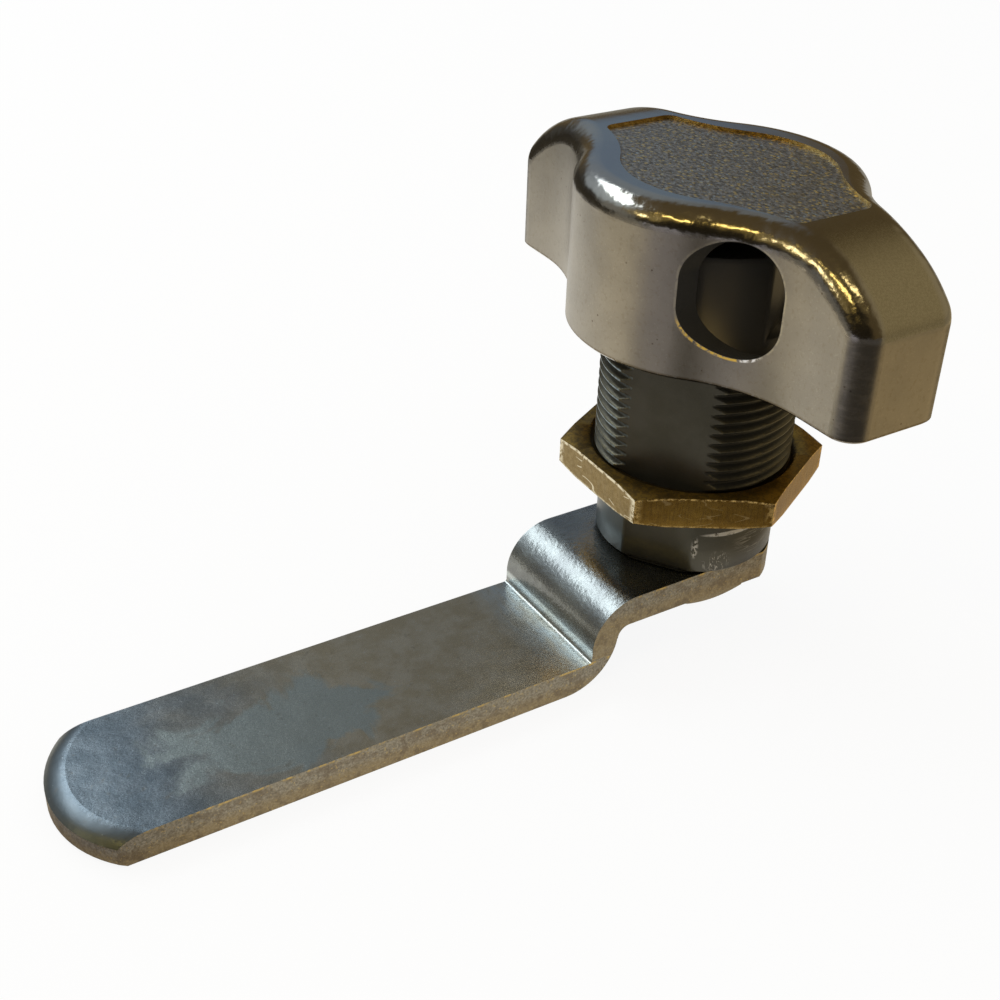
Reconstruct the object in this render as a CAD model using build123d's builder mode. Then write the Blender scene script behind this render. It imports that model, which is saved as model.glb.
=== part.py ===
from build123d import *
from math import asin, cos, degrees, radians, sin, sqrt, tan
import os

# A padlockable quarter-turn latch for a locker door, in millimetres.
# The origin is on the barrel's axis in the plane of the door's outer face, +Z points out of the door
# towards the knob, and the cam's arm points along -X. The knob's long axis lies along Y.

# Quarter turn: the latch stands part-turned, this far before its locked stop
quarter_turn = 90.0
rest_before_locked = 33.0
flats_angle = 180.0 + rest_before_locked

# Barrel
thread_d = 19.0
thread_len = 14.7
flats_across = 16.0
foot_d = 17.5
barrel_len = 22.3
foot_edge = 0.4
flange_d = 22.4
flange_t = 2.2
drum_d = 20.8
drum_top = 10.7
drum_edge = 0.4

# Knob
knob_lift = 0.5
knob_h = 15.2
hub_r = 13.05
wing_reach = 24.6
wing_end_half = 5.3
wing_root_half = 5.75
hub_blend_r = 15.0
crown_half = 13.4
wing_end_drop = 5.6
knob_edge_r = 2.3
wing_crease_r = 3.0
knob_wall = 1.6
knob_roof = 1.9
skirt_edge = 0.25

# Grained panel sunk in the top of the knob
panel_depth = 0.35
panel_shift = -0.9
panel_hub_r = 9.55
panel_reach = 13.6
panel_near_half = 3.9
panel_far_half = 3.4
panel_blend_r = 18.0
panel_corner_r = 1.2

# Padlock hole through both side walls of one wing
hole_w = 7.9
hole_h = 10.1
hole_corner_r = 3.9
hole_offset = 11.9
hole_mid = 8.65
shackle_room = 0.4

# Stop lug under the knob's roof
lug_half_angle = 12.0
lug_inner_r = 7.9
lug_outer_r = 10.1
lug_tip = 9.0
stop_clearance = 0.5
lug_gap = 0.3

# Spindle
spindle_d = 9.9
bore_clearance = 0.05
square_across = 7.0
square_short = 0.2
anchor_across = 7.4
anchor_len = 5.0
anchor_neck = 0.6
anchor_neck_len = 1.6
screw_hole_depth = 14.0

# Boss in the knob, and the washers between it and the drum
boss_r = 6.0
boss_tip = 7.4
recess_r = 6.4
thrust_t = 0.5
thrust_across = 12.4
spring_t = 0.3
spring_h = 0.9
spring_across = 12.0
washer_hole = 10.3

# Retaining ring in the barrel's foot
ring_pocket_r = 6.9
ring_pocket_depth = 1.6
ring_t = 1.0
ring_play = 0.1
ring_groove_d = 9.3
ring_groove_w = 1.1
ring_wide = 1.5
ring_narrow = 1.0
ring_opening = 50.0
ring_lug_mid_r = 5.5
ring_lug_r = 1.1
ring_lug_hole_r = 0.45

# Mounting nut
nut_across = 22.2
nut_t = 3.1
nut_mid = -13.85
nut_corner_angle = 28.4
nut_chamfer_r = 11.6
nut_chamfer_slope = 15.0
nut_mouth = 0.5
thread_clearance = 0.05

# Cam
cam_t = 3.0
cam_w = 15.4
cam_reach = 65.5
cam_tip_r = 10.9
cam_crank = 6.1
cam_riser = 15.95
cam_bend_r = 4.8
cam_heel_r = 5.6
cam_riser_t = 2.85
cam_inner_r = 1.25
cam_crease_r = 0.3
cam_tip_roll = 1.9
cam_tip_drop = 0.9
cam_tip_break = 0.45
cam_play = 0.1
cam_square_clearance = 0.05

# Cam screw
head_across = 12.0
head_h = 2.2
head_chamfer_slope = 26.0
shank_d = 6.0
shank_len = 11.0
shank_clearance = 0.05

# How near a picked edge or corner lies to the place that names it
near = 0.01

# Heights and radii that follow from the sizes above
knob_top = knob_lift + knob_h
roof_z = knob_top - knob_roof
wing_run = wing_reach - crown_half
wing_top_r = (wing_run**2 + wing_end_drop**2) / (2 * wing_end_drop)
wing_arc_z = knob_top - wing_top_r
bore_r = spindle_d / 2 + bore_clearance
recess_floor = boss_tip - spring_h - thrust_t
cam_top = -barrel_len - cam_play
cam_bottom = cam_top - cam_t
arm_top = cam_top - cam_crank
locked_angle = -90.0 + rest_before_locked
lug_angle = locked_angle + 180.0 + quarter_turn / 2 - rest_before_locked
notch_depth_r = hole_offset - hole_w / 2 - shackle_room
notch_floor = hole_mid - hole_h / 2 - shackle_room


def polar(radius, angle):
    """Point at a radius and an angle in degrees from +X."""
    return (radius * cos(radians(angle)), radius * sin(radians(angle)))


# Spindle: round shaft in the barrel's bore, a grooved square cast into the knob above it,
# a square for the cam below it, and a tapped hole up its lower end
square_tip = cam_bottom + square_short
with BuildPart() as spindle:
    with BuildSketch(Plane.XY.offset(cam_top)):
        Circle(spindle_d / 2)
    extrude(amount=boss_tip - cam_top)
    with BuildSketch(Plane.XY.offset(boss_tip)):
        Rectangle(anchor_across, anchor_across)
    extrude(amount=anchor_len)
    with BuildSketch(Plane.XY.offset(square_tip)):
        Rectangle(square_across, square_across)
    extrude(amount=cam_top - square_tip)
    with BuildSketch(Plane.XY.offset(boss_tip + (anchor_len - anchor_neck_len) / 2)):
        Rectangle(anchor_across, anchor_across)
        Rectangle(anchor_across - 2 * anchor_neck, anchor_across - 2 * anchor_neck, mode=Mode.SUBTRACT)
    extrude(amount=anchor_neck_len, mode=Mode.SUBTRACT)
    ring_top = -barrel_len + ring_pocket_depth - ring_play
    with BuildSketch(Plane.XY.offset(ring_top - ring_t - (ring_groove_w - ring_t) / 2)):
        Circle(spindle_d / 2)
        Circle(ring_groove_d / 2, mode=Mode.SUBTRACT)
    extrude(amount=ring_groove_w, mode=Mode.SUBTRACT)
    with BuildSketch(Plane.XY.offset(square_tip)):
        Circle(shank_d / 2 + shank_clearance)
    extrude(amount=screw_hole_depth, mode=Mode.SUBTRACT)
spindle.part.label = "spindle"


# Knob: plan outline of a hub and two wings that flare into it, cut to a crown that falls
# along each wing, with one rolled edge that runs down each wing's corners, hollow from below,
# with a boss, a stop lug and the padlock hole
def knob_plan(inset):
    """Hub and wings seen from above, moved inwards by the inset for the hollow."""
    with BuildSketch() as plan:
        Circle(hub_r)
        with BuildLine():
            Polyline(
                (wing_root_half, 0),
                (wing_end_half, wing_reach),
                (-wing_end_half, wing_reach),
                (-wing_root_half, 0),
                (-wing_end_half, -wing_reach),
                (wing_end_half, -wing_reach),
                close=True,
            )
        make_face()
        roots = plan.vertices().filter_by(lambda v: abs(sqrt(v.X**2 + v.Y**2) - hub_r) < near)
        roots = roots.filter_by(lambda v: near < abs(v.X) < wing_root_half + near)
        fillet(roots, hub_blend_r)
        if inset:
            offset(amount=-inset)
    return plan.sketch


def crown_profile(drop, reach):
    """Side view of the knob in the YZ plane: flat over the hub, falling along each wing to its end."""
    radius = wing_top_r - drop
    fall = degrees(asin((reach - crown_half) / radius))
    end_z = wing_arc_z + radius * cos(radians(fall))
    with BuildSketch() as side:
        with BuildLine():
            Line((-crown_half, knob_top - drop), (crown_half, knob_top - drop))
            CenterArc((crown_half, wing_arc_z), radius, 90 - fall, fall)
            CenterArc((-crown_half, wing_arc_z), radius, 90, fall)
            Polyline((reach, end_z), (reach, knob_lift), (-reach, knob_lift), (-reach, end_z))
        make_face()
        creases = side.vertices().filter_by(lambda v: abs(v.X) > reach - near)
        fillet(creases.filter_by(lambda v: v.Y > knob_lift + near), wing_crease_r)
    return side.sketch


with BuildPart() as cavity:
    with BuildSketch(Plane.XY.offset(knob_lift)):
        add(knob_plan(knob_wall))
    extrude(amount=knob_h)
    hollow_side = crown_profile(knob_roof, wing_reach - knob_wall)
    extrude(Plane.YZ * hollow_side, amount=2 * hub_r, both=True, mode=Mode.INTERSECT)

with BuildPart() as knob:
    with BuildSketch(Plane.XY.offset(knob_lift)):
        add(knob_plan(0))
    extrude(amount=knob_h)
    extrude(Plane.YZ * crown_profile(0, wing_reach), amount=2 * hub_r, both=True, mode=Mode.INTERSECT)
    rim = knob.edges().filter_by(lambda e: e.center().Z > knob_lift + near).filter_by(Axis.X, reverse=True)
    corners = rim.filter_by(Axis.Z).filter_by(lambda e: abs(e.center().Y) > wing_reach - near)
    fillet(rim.filter_by(Axis.Z, reverse=True) + corners, knob_edge_r)
    skirt = knob.faces().sort_by(Axis.Z)[0].edges()
    chamfer(skirt, skirt_edge)
    add(cavity.part, mode=Mode.SUBTRACT)

    # Boss around the spindle's anchor
    with BuildSketch(Plane.XY.offset(boss_tip)):
        Circle(boss_r)
    extrude(amount=roof_z - boss_tip)

    # Stop lug that runs in the drum's rebate
    with BuildSketch(Plane.XY.offset(lug_tip)):
        Circle(lug_outer_r)
        Circle(lug_inner_r, mode=Mode.SUBTRACT)
        with BuildLine():
            far = 2 * lug_outer_r
            Polyline(
                (0, 0),
                polar(far, lug_angle - lug_half_angle),
                polar(far, lug_angle + lug_half_angle),
                close=True,
            )
        make_face(mode=Mode.INTERSECT)
    extrude(amount=roof_z - lug_tip)

    # Grained panel
    with BuildSketch(Plane((0, panel_shift, knob_top - panel_depth))) as panel:
        Circle(panel_hub_r)
        with Locations((0, panel_blend_r)):
            Rectangle(2 * panel_far_half, 2 * panel_blend_r)
        with Locations((0, -panel_blend_r)):
            Rectangle(2 * panel_near_half, 2 * panel_blend_r)
        roots = panel.vertices().filter_by(lambda v: abs(sqrt(v.X**2 + v.Y**2) - panel_hub_r) < near)
        fillet(roots, panel_blend_r)
        Rectangle(2 * panel_hub_r, 2 * panel_reach, mode=Mode.INTERSECT)
        ends = panel.vertices().filter_by(lambda v: abs(v.Y) > panel_reach - near)
        fillet(ends, panel_corner_r)
    extrude(amount=knob_h, mode=Mode.SUBTRACT)

    # Padlock hole across one wing
    with BuildSketch(Plane.YZ):
        with Locations((-hole_offset, hole_mid)):
            RectangleRounded(hole_w, hole_h, hole_corner_r)
    extrude(amount=2 * hub_r, both=True, mode=Mode.SUBTRACT)

    add(spindle.part, mode=Mode.SUBTRACT)
knob.part.label = "knob"


# Barrel: drum and flange inside the knob, threaded length with two flats, plain foot, bore right through
with BuildPart() as barrel:
    with BuildSketch(Plane.XZ):
        with BuildLine():
            Polyline(
                (0, -barrel_len),
                (foot_d / 2 - foot_edge, -barrel_len),
                (foot_d / 2, -barrel_len + foot_edge),
                (foot_d / 2, -thread_len),
                (thread_d / 2, -thread_len + (thread_d - foot_d) / 2),
                (thread_d / 2, 0),
                (flange_d / 2, 0),
                (flange_d / 2, flange_t),
                (drum_d / 2, flange_t),
                (drum_d / 2, drum_top - drum_edge),
                (drum_d / 2 - drum_edge, drum_top),
                (0, drum_top),
                close=True,
            )
        make_face()
    revolve(axis=Axis.Z)

    # Two flats along the thread and the foot
    flats_plane = Plane((0, 0, -barrel_len), x_dir=(*polar(1, flats_angle), 0), z_dir=(0, 0, 1))
    with BuildSketch(flats_plane):
        with Locations((flats_across / 2 + thread_d / 2, 0), (-flats_across / 2 - thread_d / 2, 0)):
            Rectangle(thread_d, 2 * thread_d)
    extrude(amount=barrel_len, mode=Mode.SUBTRACT)

    # Bore, recess for the boss and its washers, pocket for the retaining ring
    with BuildSketch(Plane.XY.offset(-barrel_len)):
        Circle(bore_r)
    extrude(amount=barrel_len + drum_top, mode=Mode.SUBTRACT)
    with BuildSketch(Plane.XY.offset(recess_floor)):
        Circle(recess_r)
    extrude(amount=drum_top, mode=Mode.SUBTRACT)
    with BuildSketch(Plane.XY.offset(-barrel_len)):
        Circle(ring_pocket_r)
    extrude(amount=ring_pocket_depth, mode=Mode.SUBTRACT)

    # Notch that the shackle lies in when the latch is locked
    notch_plane = Plane((0, 0, notch_floor), x_dir=(*polar(1, locked_angle), 0), z_dir=(0, 0, 1))
    with BuildSketch(notch_plane):
        with Locations((notch_depth_r + drum_d / 2, 0)):
            Rectangle(drum_d, 2 * drum_d)
    extrude(amount=drum_top, mode=Mode.SUBTRACT)

    # Rebate that the knob's lug runs in, as long as the quarter turn
    with BuildSketch(Plane.XY.offset(lug_tip - lug_gap)):
        Circle(drum_d)
        Circle(lug_inner_r - lug_gap, mode=Mode.SUBTRACT)
        with BuildLine():
            first = lug_angle - (quarter_turn - rest_before_locked) - lug_half_angle - stop_clearance
            last = lug_angle + rest_before_locked + lug_half_angle + stop_clearance
            far = 3 * drum_d
            Polyline(
                (0, 0),
                polar(far, first),
                polar(far, (first + last) / 2),
                polar(far, last),
                close=True,
            )
        make_face(mode=Mode.INTERSECT)
    extrude(amount=drum_top, mode=Mode.SUBTRACT)
barrel.part.label = "barrel"


# Washers under the boss
with BuildPart() as thrust_washer:
    with BuildSketch(Plane.XY.offset(recess_floor)):
        Circle(thrust_across / 2)
        Circle(washer_hole / 2, mode=Mode.SUBTRACT)
    extrude(amount=thrust_t)
thrust_washer.part.label = "thrust_washer"

with BuildPart() as spring_washer:
    washer_z = recess_floor + thrust_t
    bow = spring_h - spring_t
    half = spring_across / 2
    bow_r = (half**2 + bow**2) / (2 * bow)
    with BuildSketch(Plane.XZ):
        with BuildLine():
            RadiusArc((-half, washer_z), (half, washer_z), bow_r)
            RadiusArc((-half, washer_z + spring_t), (half, washer_z + spring_t), bow_r)
            Line((-half, washer_z), (-half, washer_z + spring_t))
            Line((half, washer_z), (half, washer_z + spring_t))
        make_face()
    extrude(amount=spring_across, both=True)
    with BuildSketch(Plane.XY.offset(washer_z - spring_t)):
        Circle(spring_across / 2)
        Circle(washer_hole / 2, mode=Mode.SUBTRACT)
    extrude(amount=spring_h + 2 * spring_t, mode=Mode.INTERSECT)
spring_washer.part.label = "spring_washer"


# Retaining ring: wide at its back, narrow at the lugs beside its opening
with BuildPart() as retaining_ring:
    with BuildSketch(Plane.XY.offset(ring_top - ring_t)):
        outer_r = ring_groove_d / 2 + (ring_wide + ring_narrow) / 2
        with Locations((0, (ring_wide - ring_narrow) / 2)):
            Circle(outer_r)
        first, last = -90 - ring_opening / 2, -90 + ring_opening / 2
        with BuildLine():
            far = 3 * outer_r
            Polyline((0, 0), polar(far, first), polar(far, last), close=True)
        make_face(mode=Mode.SUBTRACT)
        ring_ends = [polar(ring_lug_mid_r, first), polar(ring_lug_mid_r, last)]
        with Locations(*ring_ends):
            Circle(ring_lug_r)
        Circle(ring_groove_d / 2, mode=Mode.SUBTRACT)
        with Locations(*ring_ends):
            Circle(ring_lug_hole_r, mode=Mode.SUBTRACT)
    extrude(amount=ring_t)
retaining_ring.part.label = "retaining_ring"


# Mounting nut: hexagon with its corners turned back on both faces
nut_corner_r = nut_across / sqrt(3)
nut_bottom = nut_mid - nut_t / 2
nut_top = nut_mid + nut_t / 2
nut_cone_r = nut_chamfer_r + nut_t / 2 / tan(radians(nut_chamfer_slope))
nut_bore_r = thread_d / 2 + thread_clearance
with BuildPart() as mounting_nut:
    with BuildSketch(Plane.XY.offset(nut_bottom)):
        RegularPolygon(nut_corner_r, 6, rotation=nut_corner_angle)
    extrude(amount=nut_t)
    with BuildSketch(Plane.XZ):
        with BuildLine():
            Polyline(
                (nut_bore_r + nut_mouth, nut_bottom),
                (nut_chamfer_r, nut_bottom),
                (nut_cone_r, nut_mid),
                (nut_chamfer_r, nut_top),
                (nut_bore_r + nut_mouth, nut_top),
                (nut_bore_r, nut_top - nut_mouth),
                (nut_bore_r, nut_bottom + nut_mouth),
                close=True,
            )
        make_face()
    revolve(axis=Axis.Z, mode=Mode.INTERSECT)
mounting_nut.part.label = "mounting_nut"


# Cam: a strip cranked downwards, its back rounded to the barrel's foot, its tip bowed with a rolled top edge
arm_bottom = arm_top - cam_t
riser_x = -cam_riser
riser_back_x = riser_x + cam_riser_t
bend_x = riser_x + cam_bend_r
back_r = foot_d / 2
with BuildPart() as cam:
    with BuildSketch(Plane.XZ):
        with BuildLine():
            Polyline((bend_x, cam_top), (back_r, cam_top), (back_r, cam_bottom))
            Line((back_r, cam_bottom), (riser_back_x + cam_inner_r, cam_bottom))
            CenterArc((riser_back_x + cam_inner_r, cam_bottom - cam_inner_r), cam_inner_r, 90, 90)
            Line((riser_back_x, cam_bottom - cam_inner_r), (riser_back_x, arm_bottom + cam_heel_r))
            CenterArc((riser_back_x - cam_heel_r, arm_bottom + cam_heel_r), cam_heel_r, 270, 90)
            Polyline(
                (riser_back_x - cam_heel_r, arm_bottom),
                (-cam_reach, arm_bottom),
                (-cam_reach, arm_top),
                (riser_x - cam_crease_r, arm_top),
            )
            CenterArc((riser_x - cam_crease_r, arm_top + cam_crease_r), cam_crease_r, 270, 90)
            Line((riser_x, arm_top + cam_crease_r), (riser_x, cam_top - cam_bend_r))
            CenterArc((bend_x, cam_top - cam_bend_r), cam_bend_r, 90, 90)
        make_face()
    extrude(amount=cam_w / 2, both=True)
    with BuildSketch(Plane.XY.offset(arm_bottom)):
        Circle(back_r)
        with Locations((-cam_reach, 0)):
            Rectangle(2 * cam_reach, 2 * back_r)
        Rectangle(3 * cam_reach, cam_w, mode=Mode.INTERSECT)
    extrude(amount=cam_top - arm_bottom, mode=Mode.INTERSECT)

    # Bowed tip: what lies outside a disc with a rolled top edge and a broken bottom edge comes off
    with BuildPart(mode=Mode.SUBTRACT):
        with BuildSketch(Plane((cam_tip_r - cam_reach, 0, arm_top), x_dir=(0, 1, 0), z_dir=(1, 0, 0))):
            with BuildLine():
                roll_r = (cam_tip_roll**2 + cam_tip_drop**2) / (2 * cam_tip_drop)
                RadiusArc((cam_tip_r - cam_tip_roll, 0), (cam_tip_r, -cam_tip_drop), roll_r)
                Polyline(
                    (cam_tip_r, -cam_tip_drop),
                    (cam_tip_r, cam_tip_break - cam_t),
                    (cam_tip_r - cam_tip_break, -cam_t),
                    (2 * cam_tip_r, -cam_t),
                    (2 * cam_tip_r, 0),
                    (cam_tip_r - cam_tip_roll, 0),
                )
            make_face()
        revolve(axis=Axis((cam_tip_r - cam_reach, 0, 0), (0, 0, 1)), revolution_arc=180)
    hole_across = square_across + 2 * cam_square_clearance
    with BuildSketch(Plane.XY.offset(cam_bottom)):
        Rectangle(hole_across, hole_across)
    extrude(amount=cam_t, mode=Mode.SUBTRACT)
cam.part.label = "cam"


# Cam screw: low hexagon head against the cam, plain shank in the spindle's hole
head_tip = cam_bottom - head_h
head_cone_r = head_across / 2 + head_h / tan(radians(head_chamfer_slope))
with BuildPart() as cam_screw:
    with BuildSketch(Plane.XY.offset(head_tip)):
        RegularPolygon(head_across / sqrt(3), 6)
    extrude(amount=head_h)
    with BuildSketch(Plane.XZ):
        with BuildLine():
            Polyline(
                (0, head_tip),
                (head_across / 2, head_tip),
                (head_cone_r, cam_bottom),
                (0, cam_bottom),
                close=True,
            )
        make_face()
    revolve(axis=Axis.Z, mode=Mode.INTERSECT)
    with BuildSketch(Plane.XY.offset(cam_bottom)):
        Circle(shank_d / 2)
    extrude(amount=shank_len)
cam_screw.part.label = "cam_screw"


os.makedirs("parts", exist_ok=True)
turning_pieces = (knob, spindle, spring_washer, retaining_ring, cam, cam_screw)
fixed_pieces = (barrel, thrust_washer, mounting_nut)
for piece in turning_pieces + fixed_pieces:
    export_step(piece.part, f"parts/{piece.part.label}.step")
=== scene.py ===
import math

import bmesh
import bpy
import numpy as np
from mathutils import Matrix, Vector


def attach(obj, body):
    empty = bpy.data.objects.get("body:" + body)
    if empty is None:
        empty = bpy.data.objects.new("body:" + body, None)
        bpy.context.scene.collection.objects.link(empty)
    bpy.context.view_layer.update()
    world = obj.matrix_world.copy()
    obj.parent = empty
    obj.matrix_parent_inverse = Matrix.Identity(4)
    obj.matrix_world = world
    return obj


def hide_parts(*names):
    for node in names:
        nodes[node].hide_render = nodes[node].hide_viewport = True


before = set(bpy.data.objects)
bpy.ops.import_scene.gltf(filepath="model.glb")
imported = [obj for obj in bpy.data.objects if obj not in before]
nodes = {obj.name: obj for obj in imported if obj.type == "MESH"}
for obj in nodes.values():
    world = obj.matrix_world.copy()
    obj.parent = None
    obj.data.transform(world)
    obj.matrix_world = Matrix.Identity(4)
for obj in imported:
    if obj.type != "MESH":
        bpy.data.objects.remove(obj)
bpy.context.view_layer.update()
MM = 0.001

# camera, fitted to the photo: angles in radians, and the lens as a multiple of the sensor's width
CAMERA_AZIMUTH = -0.5679
CAMERA_ELEVATION = 0.563
CAMERA_ROLL = 0.0331
LENS_RATIO = 1.45046
SENSOR_WIDTH = 36
NEAR_CLIP = 0.005
FAR_CLIP = 20
EYE = Vector((-81.861, -93.877, 57.664)) * MM

back = Vector((
    math.sin(CAMERA_AZIMUTH) * math.cos(CAMERA_ELEVATION),
    -math.cos(CAMERA_AZIMUTH) * math.cos(CAMERA_ELEVATION),
    math.sin(CAMERA_ELEVATION),
))
level_right = Vector((math.cos(CAMERA_AZIMUTH), math.sin(CAMERA_AZIMUTH), 0))
level_up = back.cross(level_right)
right = math.cos(CAMERA_ROLL) * level_right + math.sin(CAMERA_ROLL) * level_up
up = math.cos(CAMERA_ROLL) * level_up - math.sin(CAMERA_ROLL) * level_right
cam_data = bpy.data.cameras.new("camera")
cam_data.sensor_width = SENSOR_WIDTH
cam_data.lens = LENS_RATIO * SENSOR_WIDTH
cam_data.clip_start = NEAR_CLIP
cam_data.clip_end = FAR_CLIP
cam_object = bpy.data.objects.new("camera", cam_data)
bpy.context.scene.collection.objects.link(cam_object)
turn = Matrix((right, up, back)).transposed()
cam_object.matrix_world = Matrix.Translation(EYE) @ turn.to_4x4()
bpy.context.scene.camera = cam_object
bpy.context.scene.view_settings.view_transform = "Standard"


def aim(azimuth, elevation=0):
    """The unit vector towards that azimuth and elevation, in degrees."""
    a = math.radians(azimuth)
    e = math.radians(elevation)
    return Vector((math.cos(a) * math.cos(e), math.sin(a) * math.cos(e), math.sin(e)))


class Nodes:
    """Short names for building one node tree."""

    def __init__(self, tree):
        self.tree = tree
        tree.nodes.clear()

    def link(self, value, socket):
        if isinstance(value, bpy.types.NodeSocket):
            self.tree.links.new(value, socket)
        elif isinstance(value, (tuple, list)) and len(value) == 3 and len(socket.default_value) == 4:
            socket.default_value = (*value, 1)
        else:
            socket.default_value = value

    def add(self, kind, out=0, settings=None, **inputs):
        """A node of that kind, with its inputs by name, or by number as i0, i1 and so on."""
        node = self.tree.nodes.new(kind)
        for name, value in (settings or {}).items():
            setattr(node, name, value)
        for name, value in inputs.items():
            key = int(name[1:]) if name[0] == "i" and name[1:].isdigit() else name
            self.link(value, node.inputs[key])
        return node.outputs[out]

    def math(self, operation, a, b=0.0):
        return self.add("ShaderNodeMath", settings={"operation": operation}, i0=a, i1=b)

    def plus(self, a, b):
        return self.math("ADD", a, b)

    def minus(self, a, b):
        return self.math("SUBTRACT", a, b)

    def without(self, mask, share=1.0):
        """1 where the mask is 0, and 1 less the share where it is 1."""
        return self.minus(1.0, mask if share == 1.0 else self.times(mask, share))

    def times(self, first, *others):
        for other in others:
            first = self.math("MULTIPLY", first, other)
        return first

    def larger(self, first, *others):
        for other in others:
            first = self.math("MAXIMUM", first, other)
        return first

    def size(self, a):
        return self.math("ABSOLUTE", a)

    def hypot(self, a, b):
        return self.math("SQRT", self.plus(self.times(a, a), self.times(b, b)))

    def ramp(self, value, low, high, to_low=0.0, to_high=1.0):
        """value from low to high, eased, becomes to_low to to_high."""
        node = self.tree.nodes.new("ShaderNodeMapRange")
        node.interpolation_type = "SMOOTHSTEP"
        self.link(value, node.inputs["Value"])
        for key, number in (("From Min", low), ("From Max", high), ("To Min", to_low), ("To Max", to_high)):
            self.link(number, node.inputs[key])
        return node.outputs["Result"]

    def ramp_mm(self, value, low, high):
        """value in metres from low to high in mm, eased, becomes 0 to 1."""
        return self.ramp(value, low * MM, high * MM)

    def noise(self, where, size, detail, rough, distort=0.0):
        """Noise from 0 to 1 whose features measure about size mm."""
        return self.add(
            "ShaderNodeTexNoise",
            Vector=where,
            Scale=1 / (size * MM),
            Detail=detail,
            Roughness=rough,
            Distortion=distort,
        )

    def specks(self, where, size, edge, full):
        """Round specks about size mm apart, from their edge to where they are full, as shares of size."""
        distance = self.add("ShaderNodeTexVoronoi", out="Distance", Vector=where, Scale=1 / (size * MM))
        return self.ramp(distance, edge, full)

    def mix(self, share, a, b):
        node = self.tree.nodes.new("ShaderNodeMix")
        node.data_type = "RGBA"
        self.link(share, node.inputs[0])
        self.link(a, node.inputs[6])
        self.link(b, node.inputs[7])
        return node.outputs[2]

    def tint(self, color, mask, share, tone):
        """The colour, with that share of the tone where the mask is 1."""
        return self.mix(self.times(mask, share), color, tone)

    def apart(self, vector):
        node = self.tree.nodes.new("ShaderNodeSeparateXYZ")
        self.link(vector, node.inputs[0])
        return node.outputs[0], node.outputs[1], node.outputs[2]

    def vector_math(self, operation, a, b=(0, 0, 0), out=0):
        return self.add("ShaderNodeVectorMath", out=out, settings={"operation": operation}, i0=a, i1=b)

    def stretch(self, vector, scale):
        """The vector's coordinates each times their scale."""
        return self.vector_math("MULTIPLY", vector, scale)

    def shift(self, vector, steps):
        """The vector moved by those steps in mm."""
        return self.vector_math("ADD", vector, tuple(step * MM for step in steps))

    def length(self, vector):
        return self.vector_math("LENGTH", vector, out="Value")

    def along(self, vector, azimuth, elevation=0):
        """How far the vector reaches in that direction."""
        return self.vector_math("DOT_PRODUCT", vector, tuple(aim(azimuth, elevation)), out="Value")

    def spot(self, where, centre, reach, soft):
        """1 within a rounded blob of those half sizes in mm around the centre, 0 outside."""
        shifted = self.shift(where, [-c for c in centre])
        scaled = self.stretch(shifted, tuple(1 / (r * MM) for r in reach))
        return self.ramp(self.length(scaled), 1 + soft, 1 - soft)

    def lines(self, where, size, width):
        """Thin wavy lines about size mm apart."""
        field = self.noise(where, size, 2, 0.7, 1.0)
        return self.ramp(self.size(self.minus(field, 0.5)), width, width * 0.4)

    def bump(self, height, depth, after=None):
        """A bump depth mm high where height goes from 0 to 1."""
        node = self.tree.nodes.new("ShaderNodeBump")
        node.inputs["Strength"].default_value = 1.0
        node.inputs["Distance"].default_value = depth * MM
        self.link(height, node.inputs["Height"])
        if after is not None:
            self.link(after, node.inputs["Normal"])
        return node.outputs["Normal"]


def metal(name):
    """A new material with its node tree, a metallic shader, and the surface's place and normal at rest."""
    material = bpy.data.materials.new(name)
    material.use_nodes = True
    t = Nodes(material.node_tree)
    shader = material.node_tree.nodes.new("ShaderNodeBsdfPrincipled")
    shader.inputs["Metallic"].default_value = 1.0
    output = material.node_tree.nodes.new("ShaderNodeOutputMaterial")
    t.tree.links.new(shader.outputs[0], output.inputs[0])
    place = t.add("ShaderNodeTexCoord", out="Object")
    normal = t.add("ShaderNodeTexCoord", out="Normal")
    return material, t, shader, place, normal


def finish_metal(t, shader, color, roughness, normal):
    t.link(color, shader.inputs["Base Color"])
    t.link(roughness, shader.inputs["Roughness"])
    t.link(normal, shader.inputs["Normal"])


# azimuths, in degrees, of the sides from which the room's warm and cool tones fall; the painted light on
# the knob's panel, the barrel and the nut follows them
WARM_SIDE = -35
BARREL_COLD_SIDE = -192
NUT_COLD_SIDE = -170

# knob: sizes in mm that its material follows, borders as where each starts and where it is full
KNOB_TOP = 15.7
CROWN_HALF = 13.4
CROWN_DROOP = 0.0446
UNDER_ROOF = (1.5, 1.8)
HUB_INSIDE = (12.85, 12.55)
WING_INSIDE_WIDTH = (5.15, 4.9)
WING_INSIDE_LENGTH = (24.2, 23.8)
WING_INSIDE_CORNER = (28.15, 27.9)
PANEL_Z = 15.35
PANEL_SHIFT = -0.9
PANEL_REACH = 13.6
HUB_TOP_HEIGHT = (14.9, 15.0)
HUB_TOP_RADIUS = (15.0, 14.0)
WING_TOP_LENGTH = (14.5, 17.5)
WING_TOP_WIDTH = (3.5, 2.9)
WING_CORNER_LENGTH = (19, 21)
SKIRT = (1.0, 0.75)
HOLE_R = 4.0
HOLE_OFFSET = 11.9
HOLE_MID = 8.65
HOLE_STRAIGHT = 1.15
LOW_LIP_HEIGHT = (6.6, 5.4)
LOW_LIP_PLACE = (-14.8, -13.8)
LOW_LIP_TRIM = 0.07
LIP_HIGHLIGHT_TURNS_WHITE = (-12.5, -12.9)

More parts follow.
